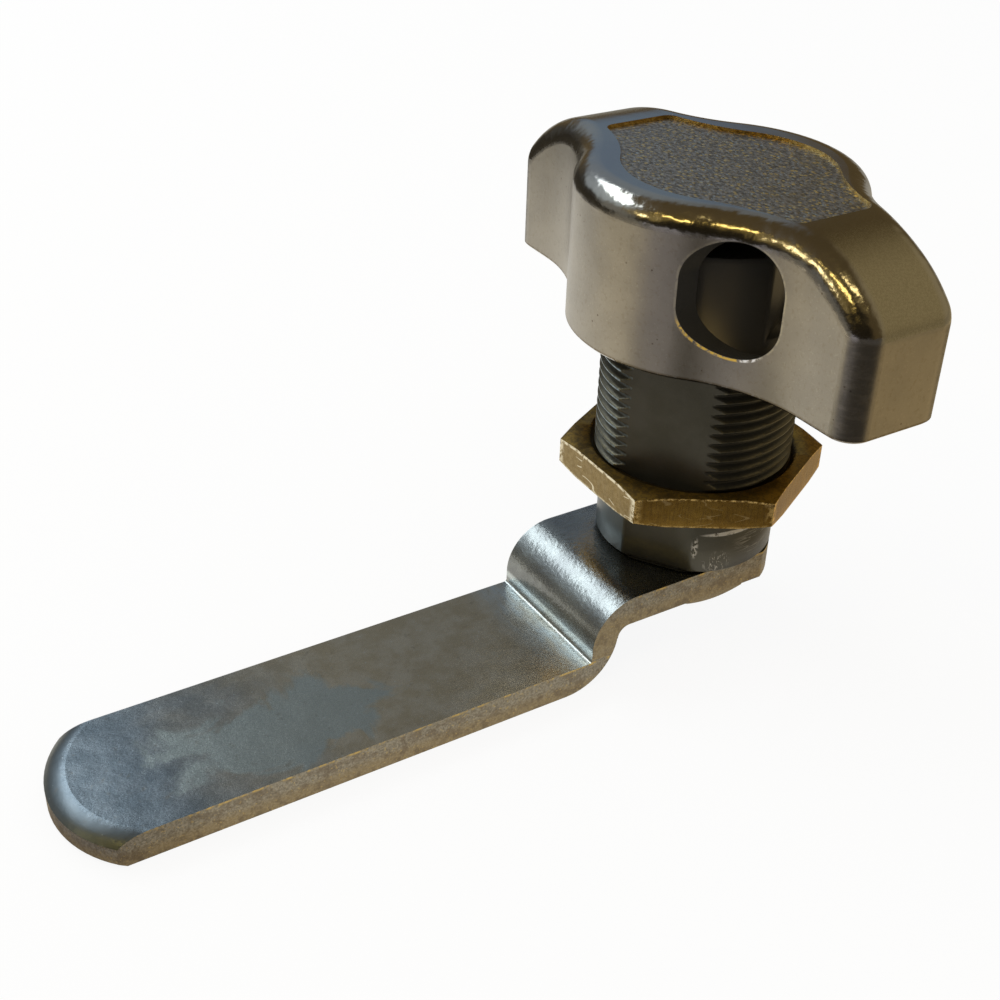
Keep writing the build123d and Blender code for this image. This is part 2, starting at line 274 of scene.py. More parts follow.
# knob: colours as linear red, green and blue
WALL_DARK = (0.325, 0.30, 0.26)
WALL_PALE = (0.375, 0.345, 0.295)
WALL_BROWN = (0.27, 0.235, 0.18)
WALL_GLINT = (0.47, 0.44, 0.37)
PIT = (0.1, 0.07, 0.05)
LIP_HIGHLIGHT_PALE = (0.50, 0.46, 0.36)
LIP_HIGHLIGHT_GOLD = (0.85, 0.56, 0.10)
LIP_HIGHLIGHT_WHITE = (1.0, 1.0, 1.0)
EDGE_DARK = (0.37, 0.355, 0.34)
EDGE_PALE = (0.42, 0.40, 0.36)
TOP_DARK = (0.335, 0.31, 0.25)
TOP_PALE = (0.40, 0.375, 0.31)
PANEL_DARK = (0.20, 0.193, 0.185)
PANEL_PALE = (0.49, 0.475, 0.46)
PANEL_GOLD_GLINT = (0.95, 0.74, 0.28)
PANEL_BLUE_GLINT = (0.66, 0.82, 0.92)
PANEL_BROWN = (0.36, 0.29, 0.16)
PANEL_WALL_DARK = (0.42, 0.27, 0.08)
PANEL_WALL_PALE = (0.62, 0.45, 0.17)
CORNER_DARK_REFLECTION = (0.10, 0.095, 0.088)
SKIRT_DARK = (0.13, 0.095, 0.05)
HOLLOW_SHADE = (0.022, 0.020, 0.016)
HOLE_SHADE = (0.024, 0.022, 0.018)


def plated_casting():
    """Plated zinc of the knob: satin walls, a polished rolled edge and a grained panel, with painted shade
    in the hollow and the padlock hole, painted glints on the panel and round the hole, and a painted dark
    reflection on the wing corners.
    """
    material, t, shader, p, n = metal("plated_zinc_cast")
    px, py, pz = t.apart(p)
    nx, ny, nz = t.apart(n)
    wide = t.size(px)
    long = t.size(py)
    radius = t.hypot(px, py)
    rise = t.size(nz)

    # painted shade: the hollow, under a roof that droops along the wings, is dark
    down_wing = t.larger(t.minus(long, CROWN_HALF * MM), 0.0)
    droop = t.times(down_wing, down_wing, CROWN_DROOP / MM)
    crown = t.minus(KNOB_TOP * MM, droop)
    under_crown = t.ramp_mm(t.minus(crown, pz), *UNDER_ROOF)
    in_hub = t.ramp_mm(radius, *HUB_INSIDE)
    in_wing = t.times(t.ramp_mm(wide, *WING_INSIDE_WIDTH), t.ramp_mm(long, *WING_INSIDE_LENGTH))
    in_wing = t.times(in_wing, t.ramp_mm(t.plus(wide, long), *WING_INSIDE_CORNER))
    shaded_inside = t.times(under_crown, t.larger(in_hub, in_wing))

    # the sunk panel and its low wall
    panel_along = t.size(t.minus(py, PANEL_SHIFT * MM))
    low_top = t.ramp_mm(pz, PANEL_Z + 0.1, PANEL_Z + 0.03)
    in_panel = t.times(t.ramp(nz, 0.9, 0.97), low_top)
    in_panel = t.times(in_panel, t.ramp_mm(panel_along, PANEL_REACH + 0.03, PANEL_REACH - 0.03))
    on_hub_top = t.times(t.ramp_mm(pz, *HUB_TOP_HEIGHT), t.ramp_mm(radius, *HUB_TOP_RADIUS))
    panel_wall = t.times(on_hub_top, t.ramp(rise, 0.3, 0.1))
    panel_wall = t.times(panel_wall, t.ramp_mm(panel_along, PANEL_REACH + 0.1, PANEL_REACH))
    outside_panel = t.without(t.larger(in_panel, panel_wall))

    # the rolled edge, the tops of the wings and their upright corners
    rolled = t.times(t.ramp(rise, 0.03, 0.18), outside_panel)
    wing_top = t.times(t.ramp_mm(long, *WING_TOP_LENGTH), rolled, t.ramp_mm(wide, *WING_TOP_WIDTH))
    wing_corner = t.ramp(t.size(t.times(nx, ny)), 0.12, 0.34)
    wing_corner = t.times(wing_corner, t.ramp_mm(long, *WING_CORNER_LENGTH), t.without(rolled))

    # the padlock hole, and a painted highlight round its edge: pale all round, gold and white along its
    # lower side
    hole_side = t.plus(py, HOLE_OFFSET * MM)
    hole_up = t.minus(t.size(t.minus(pz, HOLE_MID * MM)), HOLE_STRAIGHT * MM)
    from_hole = t.hypot(hole_side, t.larger(hole_up, 0.0))
    in_hole = t.ramp_mm(from_hole, HOLE_R - 0.01, HOLE_R - 0.04)
    low_lip_highlight = t.times(t.ramp_mm(pz, *LOW_LIP_HEIGHT), t.ramp_mm(py, *LOW_LIP_PLACE))
    lip_highlight = t.minus(from_hole, t.times(low_lip_highlight, LOW_LIP_TRIM * MM))
    lip_highlight = t.ramp_mm(lip_highlight, HOLE_R + 0.2, HOLE_R + 0.06)
    lip_highlight = t.times(lip_highlight, t.without(t.larger(shaded_inside, in_hole)))

    # satin walls with pits, the painted highlight round the hole, and the polished edge
    cloud = t.noise(p, 6, 3, 0.55)
    grain = t.noise(p, 0.16, 2, 0.6)
    fleck = t.noise(p, 0.45, 2, 0.7)
    fine = t.noise(p, 0.25, 2, 0.7)
    pits = t.times(t.specks(p, 0.9, 0.14, 0.05), t.ramp(t.noise(p, 2.3, 1, 0.5), 0.56, 0.66))
    wall = t.mix(t.ramp(cloud, 0.3, 0.7), WALL_DARK, WALL_PALE)
    wall = t.tint(wall, t.ramp(fleck, 0.52, 0.72), 0.4, WALL_BROWN)
    wall = t.tint(wall, t.ramp(fine, 0.6, 0.72), 0.4, WALL_GLINT)
    wall = t.tint(wall, pits, 0.75, PIT)
    lip_highlight_tone = t.mix(t.ramp_mm(py, *LIP_HIGHLIGHT_TURNS_WHITE), LIP_HIGHLIGHT_GOLD, LIP_HIGHLIGHT_WHITE)
    lip_highlight_color = t.mix(low_lip_highlight, LIP_HIGHLIGHT_PALE, lip_highlight_tone)
    wall = t.mix(t.times(lip_highlight, t.ramp(fleck, 0.35, 0.55)), wall, lip_highlight_color)
    edge = t.mix(t.ramp(cloud, 0.35, 0.65), EDGE_DARK, EDGE_PALE)
    edge = t.mix(wing_top, edge, t.mix(t.ramp(grain, 0.35, 0.65), TOP_DARK, TOP_PALE))

    # the panel's sand grain, with painted glints: gold and blue sparks as of grains that mirror the lamps,
    # and painted warm light that adds gold sparks and a brown tint towards the warm side
    bed = t.stretch(p, (1, 0.7, 1))
    sand = t.noise(bed, 0.34, 3, 0.6)
    sand_glint = t.times(t.specks(bed, 0.42, 0.42, 0.24), t.ramp(t.noise(p, 0.8, 2, 0.7), 0.36, 0.6))
    blue_glint = t.noise(t.shift(bed, (10, 50, 20)), 0.3, 2, 0.6)
    broad = t.noise(p, 3.5, 2, 0.6)
    warm_near = t.ramp_mm(t.along(p, WARM_SIDE), -10, 6)
    warm_far = t.ramp_mm(t.along(p, WARM_SIDE), -8, 8)
    panel = t.mix(t.ramp(sand, 0.34, 0.66), PANEL_DARK, PANEL_PALE)
    panel = t.tint(panel, sand_glint, t.plus(0.6, t.times(warm_near, 0.3)), PANEL_GOLD_GLINT)
    panel = t.tint(panel, t.ramp(blue_glint, 0.6, 0.7), 0.7, PANEL_BLUE_GLINT)
    panel = t.tint(panel, t.ramp(broad, 0.5, 0.7), t.times(warm_far, 0.35), PANEL_BROWN)
    low_wall = t.mix(t.ramp(sand, 0.4, 0.6), PANEL_WALL_DARK, PANEL_WALL_PALE)

    # all of them together, with a painted dark reflection on the wing corners, darker flecks along the
    # bottom of the skirt, and painted shade in the hollow and the hole
    corner_mottle = t.noise(t.stretch(p, (1, 1, 3)), 1.6, 3, 0.65)
    skirt = t.times(t.ramp_mm(pz, *SKIRT), t.ramp(fleck, 0.3, 0.5))
    color = t.mix(rolled, wall, edge)
    color = t.mix(in_panel, color, panel)
    color = t.mix(panel_wall, color, low_wall)
    # painted reflection: a dark, uneven band on the wings' upright corners
    color = t.tint(color, wing_corner, t.ramp(corner_mottle, 0.42, 0.66, 0.58, 0.34), CORNER_DARK_REFLECTION)
    # darker in flecks along the bottom of the skirt
    color = t.tint(color, skirt, 0.75, SKIRT_DARK)
    # painted shade: the hollow and the padlock hole's own walls are near black
    color = t.mix(shaded_inside, color, HOLLOW_SHADE)
    color = t.mix(in_hole, color, HOLE_SHADE)
    shaded_inside = t.larger(shaded_inside, in_hole)

    # painted shade: the hollow and the hole lose most of their metal shine; painted glint: the hole's lower
    # edge loses some, so its gold shows under plain light
    glint = t.times(lip_highlight, low_lip_highlight, t.ramp(fleck, 0.36, 0.5))
    metallic = t.without(t.plus(t.times(shaded_inside, 0.8), t.times(glint, 0.5)))
    t.link(metallic, shader.inputs["Metallic"])
    rough = t.plus(t.ramp(grain, 0.2, 0.8, 0.30, 0.37), t.times(rolled, -0.17))
    rough = t.plus(rough, t.times(wing_top, 0.1))
    rough = t.plus(rough, t.times(wing_corner, t.ramp(fleck, 0.3, 0.7, 0.02, 0.10)))
    rough = t.plus(rough, t.plus(t.times(in_panel, 0.08), t.times(shaded_inside, 0.4)))

    # relief: satin walls, sand in the panel, an uneven rolled edge and a slow waviness of the casting
    satin = t.minus(t.plus(t.times(grain, 0.6), t.times(fleck, 0.4)), 0.5)
    satin = t.times(satin, t.without(rolled, 0.8))
    turning_over = t.times(t.ramp(nz, 0.995, 0.93), t.without(wing_top, 0.9))
    fine_lump = t.times(t.minus(t.noise(p, 0.55, 2, 0.5), 0.5), 0.25)
    lump = t.plus(fine_lump, t.minus(t.noise(p, 1.4, 1, 0.5), 0.5))
    relief = t.bump(t.times(satin, outside_panel), 0.011)
    relief = t.bump(t.times(sand, t.without(outside_panel)), 0.08, relief)
    relief = t.bump(t.times(lump, rolled, turning_over), 0.08, relief)
    relief = t.bump(t.noise(p, 3.2, 2, 0.5), 0.035, relief)
    finish_metal(t, shader, color, rough, relief)
    return material


# barrel: sizes in mm that its material follows, and its colours
CREST_RADIUS = (9.2, 9.44)
CREST_END = (-14.9, -14.6)
CREST_START = (0.0, -0.2)
DRUM_HEIGHT = (1.8, 2.4)
FOOT_RIGHT = (-2, 3)
FOOT_HEIGHT = (-14.5, -15.5)
STREAK_CENTRE = (-1.6, -8.7, -17.8)
STREAK_REACH = (2.9, 1.4, 0.22)
DRIP_CENTRE = (-4.6, -7.45, -19.2)
DRIP_REACH = (0.22, 0.8, 1.0)
SCRAPES_CENTRE = (-2.5, -8.3, -21.0)
SCRAPES_REACH = (1.1, 1.2, 0.9)
RUB_CENTRE = (2.0, -8.4, -19.4)
RUB_REACH = (2.4, 1.4, 1.4)
BARREL_DARK = (0.066, 0.062, 0.046)
BARREL_PALE = (0.086, 0.081, 0.064)
BARREL_LIT_BLUE = (0.10, 0.12, 0.13)
CREST_BROWN = (0.115, 0.10, 0.06)
CREST_LIT_BLUE = (0.33, 0.41, 0.46)
BARREL_FLECK = (0.13, 0.115, 0.08)
DRUM_GREY = (0.15, 0.138, 0.118)
FOOT_SHADE = (0.035, 0.032, 0.022)
BARE_ZINC = (0.50, 0.47, 0.41)


def dark_casting():
    """Dark zinc of the barrel, with painted light that tints its cool side blue, thread crests that show
    wear under a painted highlight, and a few scrapes on its foot.
    """
    material, t, shader, p, n = metal("dark_zinc")
    shader.inputs["Metallic"].default_value = 0.8
    px, py, pz = t.apart(p)
    cloud = t.noise(p, 4.5, 3, 0.6)
    grain = t.noise(p, 0.12, 2, 0.6)
    chips = t.noise(p, 0.35, 2, 0.7)
    # painted light: surfaces facing the cool side are tinted blue, and the thread crests carry a painted
    # highlight over their wear, bright blue on that side and brown on the other
    left = t.ramp(t.along(n, BARREL_COLD_SIDE), 0.72, 0.86)
    crest = t.times(t.ramp_mm(t.hypot(px, py), *CREST_RADIUS), t.ramp_mm(pz, *CREST_END))
    crest = t.times(crest, t.ramp_mm(pz, *CREST_START))
    color = t.mix(t.ramp(cloud, 0.3, 0.7), BARREL_DARK, BARREL_PALE)
    color = t.tint(color, left, 0.6, BARREL_LIT_BLUE)
    wear_and_glint = t.mix(left, CREST_BROWN, CREST_LIT_BLUE)
    color = t.tint(color, crest, t.ramp(chips, 0.35, 0.6, 0.25, 0.9), wear_and_glint)
    color = t.tint(color, t.ramp(grain, 0.58, 0.75), 0.4, BARREL_FLECK)

    # marks on the foot: a level streak, a short drip below it, crossing scrapes and a faint rub
    streak = t.spot(p, STREAK_CENTRE, STREAK_REACH, 0.3)
    streak = t.times(streak, t.ramp(t.noise(p, 0.4, 3, 0.7), 0.36, 0.44))
    drip = t.spot(p, DRIP_CENTRE, DRIP_REACH, 0.5)
    drip = t.times(drip, t.ramp(t.noise(p, 0.3, 2, 0.7), 0.46, 0.52))
    scrapes = t.spot(p, SCRAPES_CENTRE, SCRAPES_REACH, 0.6)
    scrapes = t.times(scrapes, t.lines(t.stretch(p, (1.6, 1, 0.7)), 1.1, 0.04))
    scrapes = t.times(scrapes, t.ramp(t.noise(p, 0.35, 3, 0.7), 0.42, 0.52))
    rub = t.spot(p, RUB_CENTRE, RUB_REACH, 0.5)
    rub = t.times(rub, t.lines(t.stretch(p, (0.25, 0.25, 2.6)), 1.3, 0.035), 0.3)
    marks = t.larger(streak, drip, scrapes, rub)

    foot_right = t.times(t.ramp_mm(px, *FOOT_RIGHT), t.ramp_mm(pz, *FOOT_HEIGHT))
    color = t.mix(t.ramp_mm(pz, *DRUM_HEIGHT), color, DRUM_GREY)
    color = t.tint(color, foot_right, 0.85, FOOT_SHADE)
    color = t.mix(marks, color, BARE_ZINC)
    rough = t.plus(t.ramp(grain, 0.2, 0.8, 0.30, 0.4), t.times(marks, 0.15))
    relief = t.bump(grain, 0.007)
    relief = t.bump(marks, 0.03, relief)
    relief = t.bump(t.noise(p, 2.5, 2, 0.5), 0.03, relief)
    finish_metal(t, shader, color, rough, relief)
    return material


# nut: sizes in mm that its material and its thread follow, and its colours
NUT_TOP = -12.3
NUT_END = -15.4
CHAMFER_RADIUS = 11.6
CHAMFER_SLOPE = 0.268
EDGE_WEAR = 0.16
CORNER_RADIUS = (12.4, 12.75)
THREAD_SHADE = (10.15, 10.0)
LOW_FACE = (1.1, 0.1)
TOP_COLD_TO_WARM = (-6, 2)
BRASS_DARK = (0.26, 0.135, 0.016)
BRASS_PALE = (0.35, 0.20, 0.032)
BRASS_DRAG = (0.15, 0.075, 0.010)
LIT_FACE_DARK = (0.19, 0.14, 0.055)
LIT_FACE_PALE = (0.265, 0.205, 0.098)
TOP_COLD = (0.17, 0.13, 0.055)
TOP_WARM = (0.27, 0.165, 0.028)
THREAD_DARK = (0.07, 0.05, 0.02)
LOW_GOLD = (0.46, 0.27, 0.055)
SCRATCH_WARM = (0.8, 0.55, 0.2)
SCRATCH_LIT_PALE = (0.78, 0.70, 0.52)
WEAR_GLINT_GOLD = (0.9, 0.54, 0.07)
WEAR_LIT_PALE = (0.78, 0.71, 0.53)


def nut_brass():
    """Brass of the nut, with wear on its corners and edges, painted gold glints along its top edge, and
    painted light that makes the side facing -X paler and greyer.
    """
    material, t, shader, p, n = metal("brass")
    px, py, pz = t.apart(p)
    _, _, nz = t.apart(n)
    cloud = t.noise(p, 3.5, 3, 0.6)
    drag = t.noise(t.stretch(p, (1, 1, 0.1)), 0.17, 3, 0.6)
    grain = t.noise(p, 0.1, 2, 0.6)
    chips = t.noise(p, 0.5, 3, 0.75)
    radius = t.hypot(px, py)
    top = t.ramp(nz, 0.6, 0.9)
    # painted light: faces turned towards the cool side are paler and greyer, with wider wear and more
    # scratches showing
    left = t.times(t.ramp(t.along(n, NUT_COLD_SIDE), 0.55, 0.85), t.without(top))

    # distances from the chamfered top and lower edges, and the wear along them, which carries painted gold
    # glints on the top edge
    chamfer = t.times(t.larger(t.minus(radius, CHAMFER_RADIUS * MM), 0.0), CHAMFER_SLOPE)
    to_top = t.minus(t.minus(NUT_TOP * MM, chamfer), pz)
    to_end = t.minus(pz, t.plus(NUT_END * MM, chamfer))
    wear_reach = t.plus(EDGE_WEAR * MM, t.times(left, EDGE_WEAR * MM))
    top_ridge = t.ramp_mm(t.minus(to_top, wear_reach), 0.02, -0.08)
    end_ridge = t.times(t.ramp_mm(to_end, 0.22, 0.06), 0.7)
    wear_and_glint = t.larger(top_ridge, end_ridge, t.ramp_mm(radius, *CORNER_RADIUS))
    wear_and_glint = t.times(wear_and_glint, t.ramp(chips, t.minus(0.44, t.times(left, 0.06)), 0.56))
    strokes = t.noise(t.stretch(p, (0.5, 0.3, 1.4)), 1.5, 0, 0.5)
    strokes = t.ramp(t.size(t.minus(strokes, 0.5)), 0.022, 0.01)
    scratch = t.times(strokes, t.ramp(t.noise(p, 1.5, 1, 0.5), 0.54, 0.6))
    low_face = t.times(t.ramp_mm(to_end, *LOW_FACE), t.without(left))

    color = t.mix(t.ramp(cloud, 0.3, 0.7), BRASS_DARK, BRASS_PALE)
    color = t.tint(color, t.ramp(drag, 0.42, 0.68), 0.6, BRASS_DRAG)
    color = t.tint(color, left, 0.8, t.mix(t.ramp(chips, 0.35, 0.65), LIT_FACE_DARK, LIT_FACE_PALE))
    color = t.tint(color, top, 0.6, t.mix(t.ramp_mm(px, *TOP_COLD_TO_WARM), TOP_COLD, TOP_WARM))
    color = t.tint(color, top, t.ramp_mm(radius, *THREAD_SHADE), THREAD_DARK)
    color = t.tint(color, low_face, 0.5, LOW_GOLD)
    scratch_share = t.plus(0.1, t.times(left, 0.75))
    color = t.tint(color, scratch, scratch_share, t.mix(left, SCRATCH_WARM, SCRATCH_LIT_PALE))
    color = t.tint(color, wear_and_glint, t.without(top, 0.8), t.mix(left, WEAR_GLINT_GOLD, WEAR_LIT_PALE))

    # painted glint: gold chips along the top edge lose some metal shine, so they show bright under plain
    # light
    glint = t.times(wear_and_glint, t.ramp_mm(to_top, 0.3, 0.2), t.ramp(chips, 0.5, 0.58))
    glint = t.times(glint, t.without(t.larger(left, top)))
    t.link(t.minus(0.95, t.times(glint, 0.4)), shader.inputs["Metallic"])
    rough = t.plus(t.ramp(grain, 0.2, 0.8, 0.24, 0.34), t.times(top, 0.15))
    relief = t.bump(drag, 0.012)
    relief = t.bump(t.noise(p, 1.6, 2, 0.5), 0.035, relief)
    finish_metal(t, shader, color, rough, relief)
    return material


# cam: sizes in mm that its material follows, borders as where each starts and where it is full
CAM_TO_TIP = (-38, -60)
CAM_TIP = (-54, -56)
CAM_HEAD = (0, 2)
CREASE = (-21.5, -17.5)
CREASE_END = (-15.0, -16.0)
BEND_START = (-17.5, -16.0)
BEND_END = (-3, -6)
ARM_BOTTOM = -31.5
PAD_BOTTOM = -25.4
ARM_TO_PAD = (-28.3, -27.9)
CUT_ARM_TO_PAD = (-28.4, -28.0)
RISER_FOOT_LOW = (-28.1, -27.6)
RISER_FOOT_HIGH = (-26.9, -27.4)
CUT_LOW = (2.0, 0.6)
CUT_TOP = (2.7, 2.9)
PALE_CENTRE = (-45.5, -1.5)
PALE_REACH = (9.5, 5.2)
CLOUD_PUSH = 16
ARM_NEAR_DARK = (0.36, 0.295, 0.20)
ARM_NEAR_PALE = (0.42, 0.36, 0.27)
ARM_TIP_DARK = (0.125, 0.15, 0.17)
ARM_TIP_PALE = (0.16, 0.185, 0.205)
PALE_PATCH = (0.315, 0.345, 0.325)
CREASE_SHEEN_GREY = (0.40, 0.43, 0.43)
CAM_STAIN = (0.15, 0.13, 0.10)
PAD_DARK = (0.225, 0.235, 0.235)
PAD_PALE = (0.28, 0.295, 0.29)
RISER_FOOT_HIGHLIGHT = (0.62, 0.68, 0.69)
CAM_SPECK = (0.55, 0.6, 0.62)
TIP_ROLL = (0.085, 0.095, 0.10)
CUT_DARK = (0.215, 0.19, 0.145)
CUT_PALE = (0.40, 0.365, 0.295)
CUT_RUST = (0.36, 0.265, 0.12)
CUT_BROWN = (0.17, 0.13, 0.085)
CUT_GOLD = (0.62, 0.47, 0.2)
CUT_RIM_GLINT = (0.62, 0.45, 0.16)


def plated_steel():
    """Zinc plated steel of the cam: bluer towards its tip, with cut edges left rough and tan."""
    material, t, shader, p, n = metal("zinc_plated_steel")
    px, _, pz = t.apart(p)
    nx, ny, _ = t.apart(n)
    cloud = t.noise(p, 9, 4, 0.55, 0.6)
    patch = t.ramp(t.noise(p, 2.6, 3, 0.6), 0.35, 0.65)
    grain = t.noise(p, 0.14, 2, 0.6)

    # the arm: tan to blue, a pale patch, a painted reflection in grey streaks near the crease at the
    # riser's foot, and brown stains
    tipward = t.ramp_mm(t.plus(px, t.times(t.minus(cloud, 0.5), CLOUD_PUSH * MM)), *CAM_TO_TIP)
    near_arm = t.mix(patch, ARM_NEAR_DARK, ARM_NEAR_PALE)
    arm = t.mix(tipward, near_arm, t.mix(patch, ARM_TIP_DARK, ARM_TIP_PALE))
    haze = t.noise(p, 7, 5, 0.6, 0.6)
    from_pale = t.shift(p, (-PALE_CENTRE[0], -PALE_CENTRE[1], 0))
    from_pale = t.length(t.stretch(from_pale, (1 / (PALE_REACH[0] * MM), 1 / (PALE_REACH[1] * MM), 0)))
    pale = t.ramp(t.plus(from_pale, t.times(t.minus(haze, 0.5), 3.2)), 1.15, 0.75)
    arm = t.tint(arm, pale, 0.8, PALE_PATCH)
    # painted reflection: a grey, streaked sheen on the arm near the crease
    crease_streaks = t.noise(t.stretch(p, (1, 0.25, 1)), 0.7, 3, 0.7)
    crease_sheen = t.times(t.ramp_mm(px, *CREASE), t.ramp(crease_streaks, 0.3, 0.7, 0.4, 1.0))
    arm = t.tint(arm, crease_sheen, t.ramp_mm(px, *CREASE_END), CREASE_SHEEN_GREY)
    arm = t.tint(arm, t.ramp(t.noise(p, 1.1, 3, 0.7), 0.6, 0.72), 0.35, CAM_STAIN)

    # the pad, and the riser with a painted highlight: a bright band at its foot
    pad = t.mix(patch, PAD_DARK, PAD_PALE)
    riser_foot_highlight = t.times(t.ramp_mm(pz, *RISER_FOOT_LOW), t.ramp_mm(pz, *RISER_FOOT_HIGH))
    pad = t.tint(pad, riser_foot_highlight, 0.85, RISER_FOOT_HIGHLIGHT)
    face = t.mix(t.ramp_mm(pz, *ARM_TO_PAD), arm, pad)
    face = t.tint(face, t.specks(p, 0.75, 0.12, 0.04), 0.35, CAM_SPECK)

    # the cut edges: the long sides, and the rounded ends where the surface stands upright
    ends = t.larger(t.ramp_mm(px, *CAM_TIP), t.ramp_mm(px, *CAM_HEAD))
    level = t.hypot(nx, ny)
    side = t.ramp(t.larger(t.size(ny), t.times(level, ends)), 0.8, 0.93)
    edge_noise = t.noise(p, 0.24, 3, 0.75)
    edge_patch = t.noise(p, 1.3, 3, 0.65)
    on_pad = t.ramp_mm(pz, *CUT_ARM_TO_PAD)
    height = t.mix(on_pad, t.minus(pz, ARM_BOTTOM * MM), t.minus(pz, PAD_BOTTOM * MM))
    # painted glint: gold patches along the top of the cut edges
    rim_glint = t.times(t.ramp_mm(height, *CUT_TOP), t.ramp(edge_patch, 0.45, 0.6))
    cut = t.mix(t.ramp(edge_noise, 0.35, 0.65), CUT_DARK, CUT_PALE)
    cut = t.tint(cut, t.ramp_mm(height, *CUT_LOW), 0.55, CUT_RUST)
    cut = t.tint(cut, t.ramp(edge_patch, 0.46, 0.62), 0.6, CUT_BROWN)
    cut = t.tint(cut, t.ramp(t.noise(p, 0.3, 2, 0.8), 0.6, 0.7), 0.6, CUT_GOLD)
    cut = t.mix(rim_glint, cut, CUT_RIM_GLINT)

    tip_roll = t.times(t.ramp_mm(px, *CAM_TIP), t.ramp(level, 0.03, 0.5))
    face = t.tint(face, tip_roll, 0.4, TIP_ROLL)
    color = t.tint(face, side, 0.95, cut)
    rough = t.plus(t.times(side, 0.2), t.times(tip_roll, 0.12))
    rough = t.plus(t.ramp(grain, 0.2, 0.8, 0.23, 0.31), rough)
    bent = t.times(t.ramp_mm(px, *BEND_START), t.ramp_mm(px, *BEND_END))
    orange_peel = t.times(t.noise(p, 0.5, 2, 0.55), t.without(side))
    orange_peel = t.times(orange_peel, t.plus(0.25, t.times(bent, 0.75)))
    relief = t.bump(grain, 0.004)
    relief = t.bump(orange_peel, 0.036, relief)
    relief = t.bump(t.times(edge_noise, side), 0.05, relief)
    relief = t.bump(t.noise(p, 4, 2, 0.5), 0.06, relief)
    finish_metal(t, shader, color, rough, relief)
    return material


SPRING_DARK = (0.12, 0.12, 0.13)
SPRING_PALE = (0.22, 0.22, 0.23)


def spring_steel():
    material, t, shader, p, _ = metal("spring_steel")
    grain = t.noise(p, 0.2, 3, 0.6)
    color = t.mix(t.ramp(grain, 0.3, 0.7), SPRING_DARK, SPRING_PALE)
    finish_metal(t, shader, color, t.ramp(grain, 0.2, 0.8, 0.25, 0.4), t.bump(grain, 0.006))
    return material


knob_metal = plated_casting()
dark_metal = dark_casting()
brass = nut_brass()
zinc = plated_steel()
spring = spring_steel()
for name, material in (
    ("knob", knob_metal),
    ("cam", zinc),
    ("cam_screw", zinc),
    ("spindle", zinc),
    ("retaining_ring", spring),
    ("spring_washer", spring),
    ("thrust_washer", spring),
):
    nodes[name].data.materials.clear()
    nodes[name].data.materials.append(material)


def as_object(name, mesh, material):
    obj = bpy.data.objects.new(name, mesh)
    bpy.context.scene.collection.objects.link(obj)
    mesh.materials.clear()
    mesh.materials.append(material)
    return obj


def soften(mesh, degrees):
    """Smooth shading, with edges sharper than that left sharp."""
    mesh.polygons.foreach_set("use_smooth", np.ones(len(mesh.polygons), bool))
    mesh.set_sharp_from_angle(angle=math.radians(degrees))


def rethreaded(name, node, dropped, rows, material, degrees):
    """A copy of a CAD node without the faces that dropped picks, and with rows of closed rings in mm."""
    bm = bmesh.new()
    bm.from_mesh(nodes[node].data)
    bmesh.ops.remove_doubles(bm, verts=bm.verts, dist=1e-7)
    gone = [f for f in bm.faces if dropped([v.co / MM for v in f.verts], f.normal)]
    bmesh.ops.delete(bm, geom=gone, context="FACES")
    rings = [[bm.verts.new(Vector(q) * MM) for q in row] for row in rows]
    count = len(rings[0])
    for low, high in zip(rings, rings[1:]):
        for k in range(count):
            m = (k + 1) % count
            bm.faces.new((low[k], low[m], high[m], high[k]))
    mesh = bpy.data.meshes.new(name)
    bm.to_mesh(mesh)
    bm.free()
    soften(mesh, degrees)
    return as_object(name, mesh, material)


# thread of the barrel, M19 x 1, with its two flats, in mm
THREAD_R = 9.5
THREAD_LEN = 14.7
PITCH = 1.0
THREAD_DEPTH = 0.61
THREAD_CREST = 0.14
THREAD_ROOT = 0.2
START_FADE = 0.35
END_FADE = 0.45
FOOT_R = 8.75
FOOT_MIDDLE = (-17.0, -19.5)
FOOT_END = -22.3
FOOT_EDGE = 0.4
FLAT = 8.0
FLATS_ANGLE = math.radians(180 + 33)
ROWS_PER_TURN = 12
SKIN_RADIUS = 7.4
BARREL_SHARP = 32


def tooth(turns, crest, root):
    """The thread's height from 0 at its root to 1 at its crest, for a place along the axis in turns."""
    u = abs((turns % 1.0) - 0.5) * 2
    return min(1.0, max(0.0, (u - root) / (1 - crest - root)))


def flat_limit(angle):
    """The flats' distance from the axis in that direction."""
    c = abs(math.cos(angle - FLATS_ANGLE))
    return FLAT / max(c, 1e-6)


def barrel_angles():
    """Angles round the barrel, close together where the flats cut the thread."""
    quarter = [0, 8, 16, 22, 24]
    quarter += [24.5 + 0.5 * k for k in range(21)]
    quarter += [36.5 + 2.0 * k for k in range(27)]
    half = quarter + [90] + [180 - o for o in reversed(quarter)]
    whole = half[:-1] + [180 + o for o in half[:-1]]
    return [FLATS_ANGLE + math.radians(o) for o in whole]


def barrel_radius(angle, z):
    turns = z / PITCH - angle / (2 * math.pi)
    r = THREAD_R - THREAD_DEPTH * (1 - tooth(turns, THREAD_CREST, THREAD_ROOT))
    first = min(1.0, max(0.0, (z + START_FADE) / START_FADE))
    last = min(1.0, max(0.0, (END_FADE - THREAD_LEN - z) / END_FADE))
    r += (THREAD_R - r) * first
    r -= (r - FOOT_R) * last
    return min(r, flat_limit(angle))


def round_point(radius, angle, z):
    return radius * math.cos(angle), radius * math.sin(angle), z


